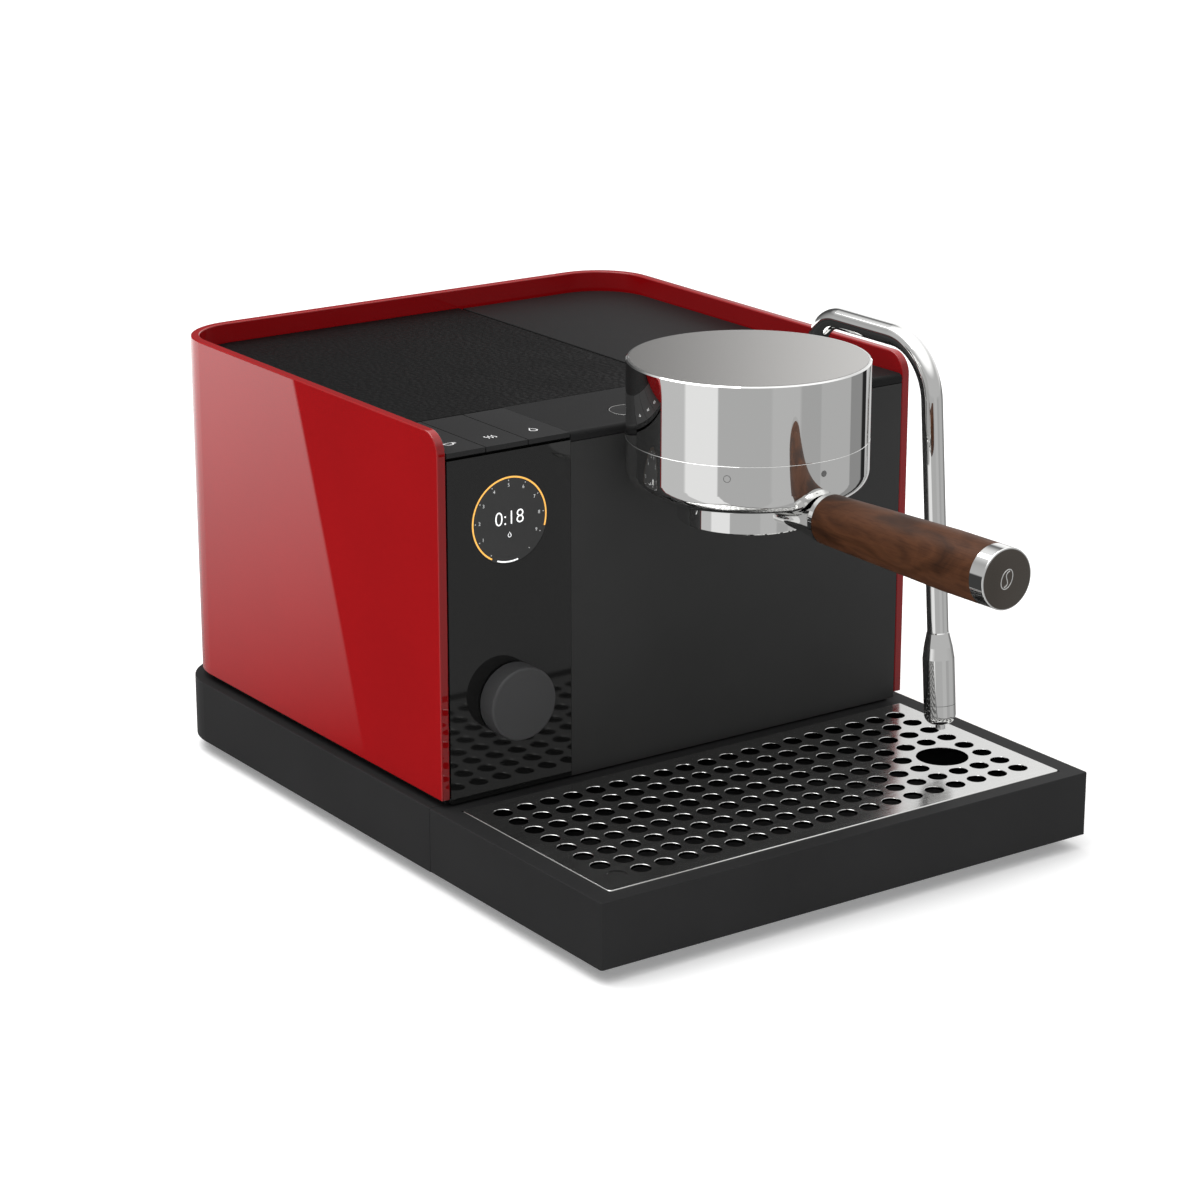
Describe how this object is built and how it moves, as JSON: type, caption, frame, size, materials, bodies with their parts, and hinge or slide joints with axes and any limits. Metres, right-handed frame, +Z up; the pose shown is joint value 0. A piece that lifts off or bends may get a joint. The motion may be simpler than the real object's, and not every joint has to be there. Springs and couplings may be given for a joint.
{
  "type": "espresso machine",
  "caption": "Low, wide espresso machine with a painted wrap-round shell, chrome brew group, wooden-handled portafilter, swivelling steam wand and punched drip tray.",
  "frame": {"origin": "on the worktop, under the middle of the overall box, portafilter handle included", "axes": "+X to the machine's right seen from the front, +Y to the back, +Z up; the longest side runs along Y"},
  "size_m": [0.315, 0.54, 0.2723],
  "materials": {
    "shell_paint": "gloss lacquer",
    "black_plastic": "fine matte texture",
    "panel_plastic": "fine matte",
    "gloss_black": "gloss",
    "key_plastic": "satin",
    "mat_silicone": "pebbled",
    "lid_plastic": "fine matte",
    "foot_rubber": "matte",
    "grate_steel": "polished",
    "chrome": "mirror",
    "satin_metal": "satin",
    "steel": "bare",
    "zinc_plate": "zinc plated",
    "brass": "machined",
    "aluminium": "cast",
    "walnut": "oiled",
    "seal_rubber": "matte",
    "display_glass": "gloss",
    "circuit_board": "solder mask",
    "tank_plastic": "smoked clear",
    "tube_silicone": "translucent",
    "white_plastic": "moulded"
  },
  "bodies": {
    "root": {"base_plate": "zinc_plate", "feet": "foot_rubber", "base_screws": "steel", "base_housing": "black_plastic", "outer_shell": "shell_paint", "control_panel": "gloss_black", "front_panel": "panel_plastic", "bulkhead": "zinc_plate", "top_deck": "black_plastic", "top_strip": "key_plastic", "cup_mat": "mat_silicone", "key_board": "circuit_board", "display_lens": "display_glass", "display_module": "black_plastic", "encoder_body": "steel", "group_drum": "chrome", "group_top_disc": "satin_metal", "group_ring": "chrome", "group_casting": "aluminium", "bayonet_ring": "steel", "group_gasket": "seal_rubber", "shower_screen": "steel", "shower_screw": "steel", "wand_nut": "chrome", "wand_socket": "brass", "tank_shelf": "zinc_plate", "boiler": "steel", "heater_flange": "steel", "boiler_bolts": "steel", "pump": "white_plastic", "pump_mounts": "seal_rubber", "solenoid_valve": "brass", "water_tubes": "tube_silicone", "steam_tube": "steel", "control_board": "circuit_board", "power_supply": "circuit_board", "power_inlet": "black_plastic"},
    "drip_tray": {"tray_tub": "black_plastic"},
    "grate": {"drip_grate": "grate_steel"},
    "portafilter": {"portafilter_body": "chrome", "filter_basket": "steel", "basket_spring": "steel", "handle_ferrule": "chrome", "handle_grip": "walnut", "handle_cap": "chrome", "handle_stud": "steel"},
    "steam_wand": {"wand_tube": "chrome", "wand_sleeve": "chrome", "wand_tip": "chrome"},
    "tank": {"water_tank": "tank_plastic", "tank_valve": "white_plastic"},
    "lid": {"tank_lid": "lid_plastic"},
    "left_key": {"brew_key": "key_plastic"},
    "middle_key": {"steam_key": "key_plastic"},
    "right_key": {"water_key": "key_plastic"},
    "round_button": {"power_button": "key_plastic"},
    "encoder_shaft": {"knob_shaft": "steel"},
    "control_knob": {"knob": "key_plastic"},
    "mains_rocker": {"power_rocker": "black_plastic"}
  },
  "joints": [
    {"name": "tray_slide", "type": "slide", "parent": "root", "child": "drip_tray", "axis": [0, -1, 0], "range_m": [0, 0.14]},
    {"name": "grate_lift", "type": "slide", "parent": "drip_tray", "child": "grate", "axis": [0, 0, 1], "range_m": [0, 0.0145]},
    {"name": "portafilter_twist", "type": "hinge", "parent": "root", "child": "portafilter", "pos_m": [0, -0.07, 0.203], "axis": [0, 0, 1], "range_deg": [-45, 0]},
    {"name": "wand_swivel", "type": "hinge", "parent": "root", "child": "steam_wand", "pos_m": [0.10875, 0.011, 0.224], "axis": [0, 0, 1], "range_deg": [-18, 75]},
    {"name": "tank_lift", "type": "slide", "parent": "root", "child": "tank", "axis": [0, 0, 1], "range_m": [0, 0.145]},
    {"name": "lid_lift", "type": "slide", "parent": "tank", "child": "lid", "axis": [0, 0, 1], "range_m": [0, 0.06]},
    {"name": "brew_key_press", "type": "hinge", "parent": "root", "child": "left_key", "pos_m": [-0.11, 0.0459, 0.2309], "axis": [1, 0, 0], "range_deg": [0, 1.1], "stiffness_Nm_per_rad": 12, "springref_deg": -1.15},
    {"name": "steam_key_press", "type": "hinge", "parent": "root", "child": "middle_key", "pos_m": [-0.11, 0.0459, 0.2309], "axis": [1, 0, 0], "range_deg": [0, 1.1], "stiffness_Nm_per_rad": 12, "springref_deg": -1.15},
    {"name": "water_key_press", "type": "hinge", "parent": "root", "child": "right_key", "pos_m": [-0.11, 0.0459, 0.2309], "axis": [1, 0, 0], "range_deg": [0, 1.1], "stiffness_Nm_per_rad": 12, "springref_deg": -1.15},
    {"name": "round_button_press", "type": "slide", "parent": "root", "child": "round_button", "axis": [0, 0, -1], "range_m": [0, 0.0008], "stiffness_N_per_m": 400, "springref_m": -0.001},
    {"name": "knob_press", "type": "slide", "parent": "root", "child": "encoder_shaft", "axis": [0, 1, 0], "range_m": [0, 0.0006], "stiffness_N_per_m": 500, "springref_m": -0.001},
    {"name": "knob_turn", "type": "hinge", "parent": "encoder_shaft", "child": "control_knob", "pos_m": [-0.1101, -0.02, 0.096], "axis": [0, -1, 0], "continuous": true},
    {"name": "rocker_tilt", "type": "hinge", "parent": "root", "child": "mains_rocker", "pos_m": [-0.057, 0.261, 0.026], "axis": [0, 0, 1], "range_deg": [0, 16]}
  ]
}
